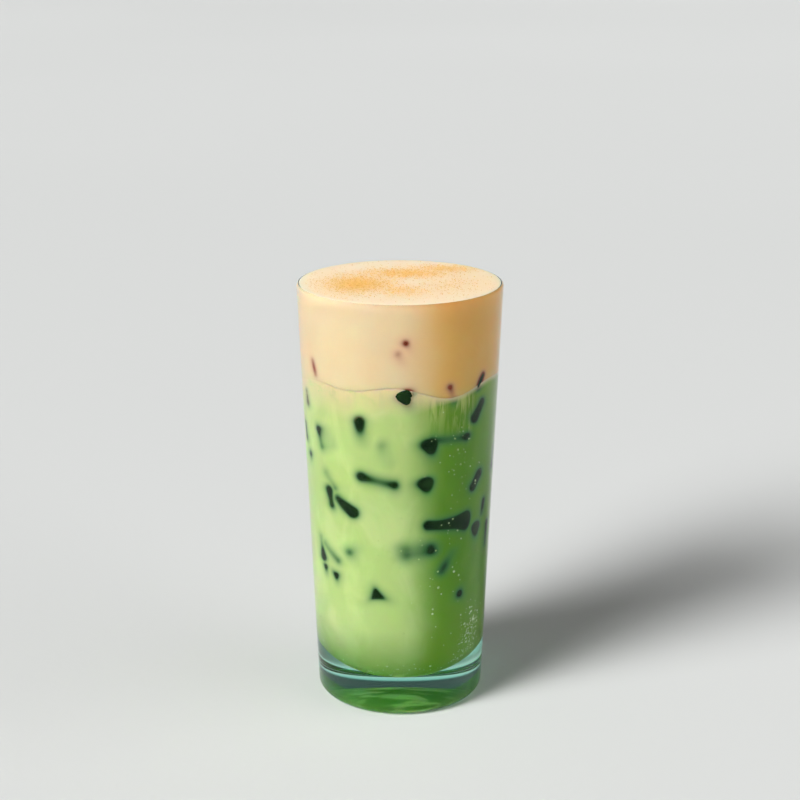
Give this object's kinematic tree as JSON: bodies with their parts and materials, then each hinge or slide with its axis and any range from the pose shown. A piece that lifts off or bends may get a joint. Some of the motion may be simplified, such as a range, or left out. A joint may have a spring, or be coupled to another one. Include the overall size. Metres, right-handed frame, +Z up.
{
  "type": "iced matcha latte",
  "caption": "Tall tapered tumbler with a thick base, filled to the rim with iced green matcha milk under a deep cap of cream foam.",
  "frame": {"origin": "centre of the plane that the glass stands on", "axes": "+Z up along the axis of the glass, towards the rim; +X to the right and -Y towards the front, where the drink's uneven boundary is as shown"},
  "size_m": [0.074, 0.074, 0.1565],
  "materials": {
    "clear_glass": "clear pressed glass with a faint sea-green tint, polished",
    "matcha_milk": "opaque milky green liquid, wet and smooth, marked by dark green ice against the glass",
    "milk_foam": "soft matte cream foam, dusted with tan spice on top"
  },
  "bodies": {
    "root": {"glass": "clear_glass", "matcha": "matcha_milk", "foam": "milk_foam"}
  },
  "joints": []
}
